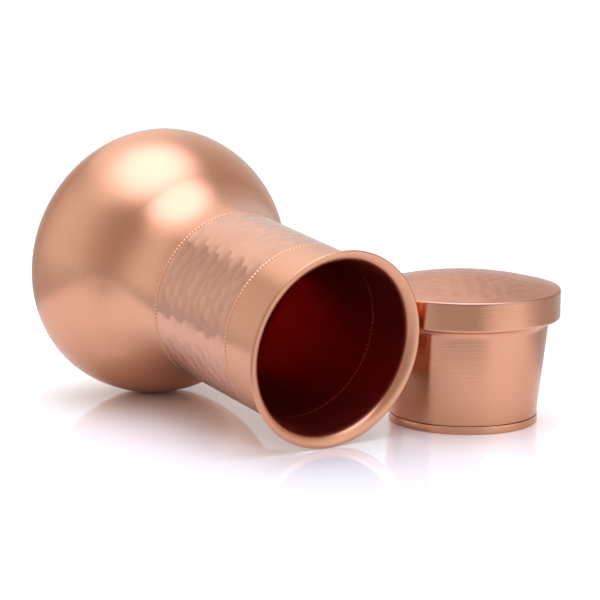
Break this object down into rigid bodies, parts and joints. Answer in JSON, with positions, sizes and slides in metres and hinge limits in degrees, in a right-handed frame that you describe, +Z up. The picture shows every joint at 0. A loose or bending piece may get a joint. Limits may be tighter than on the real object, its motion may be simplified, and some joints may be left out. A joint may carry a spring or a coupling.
{
  "type": "water carafe with plug lid",
  "caption": "Round-bellied copper water carafe lying on its side, with a straight hammered neck, a flared lip and a loose plug lid with a hammered top standing beside the mouth.",
  "frame": {"origin": "centre of the footprint of the box round the lying carafe and its lid, on the surface they rest on", "axes": "+X the way the mouth points along the ground, +Y from the neck towards the lid, +Z up"},
  "size_m": [0.209, 0.193, 0.1263],
  "materials": {
    "satin_copper": "satin copper, fine turned lines",
    "hammered_copper": "hammered copper, semi-gloss facets",
    "brushed_copper": "brushed copper, lines round the lid"
  },
  "bodies": {
    "carafe": {"base_disc": "satin_copper", "lower_bowl": "satin_copper", "upper_bowl": "satin_copper", "hammered_neck": "hammered_copper", "mouth_collar": "satin_copper"},
    "lid": {"lid_rim_band": "brushed_copper", "lid_plug_wall": "brushed_copper", "lid_collar": "brushed_copper", "lid_hammered_top": "hammered_copper"}
  },
  "joints": [
    {"name": "lid_lift", "type": "slide", "parent": "carafe", "child": "lid", "axis": [0, 0, 1], "range_m": [0, 0.2]}
  ]
}
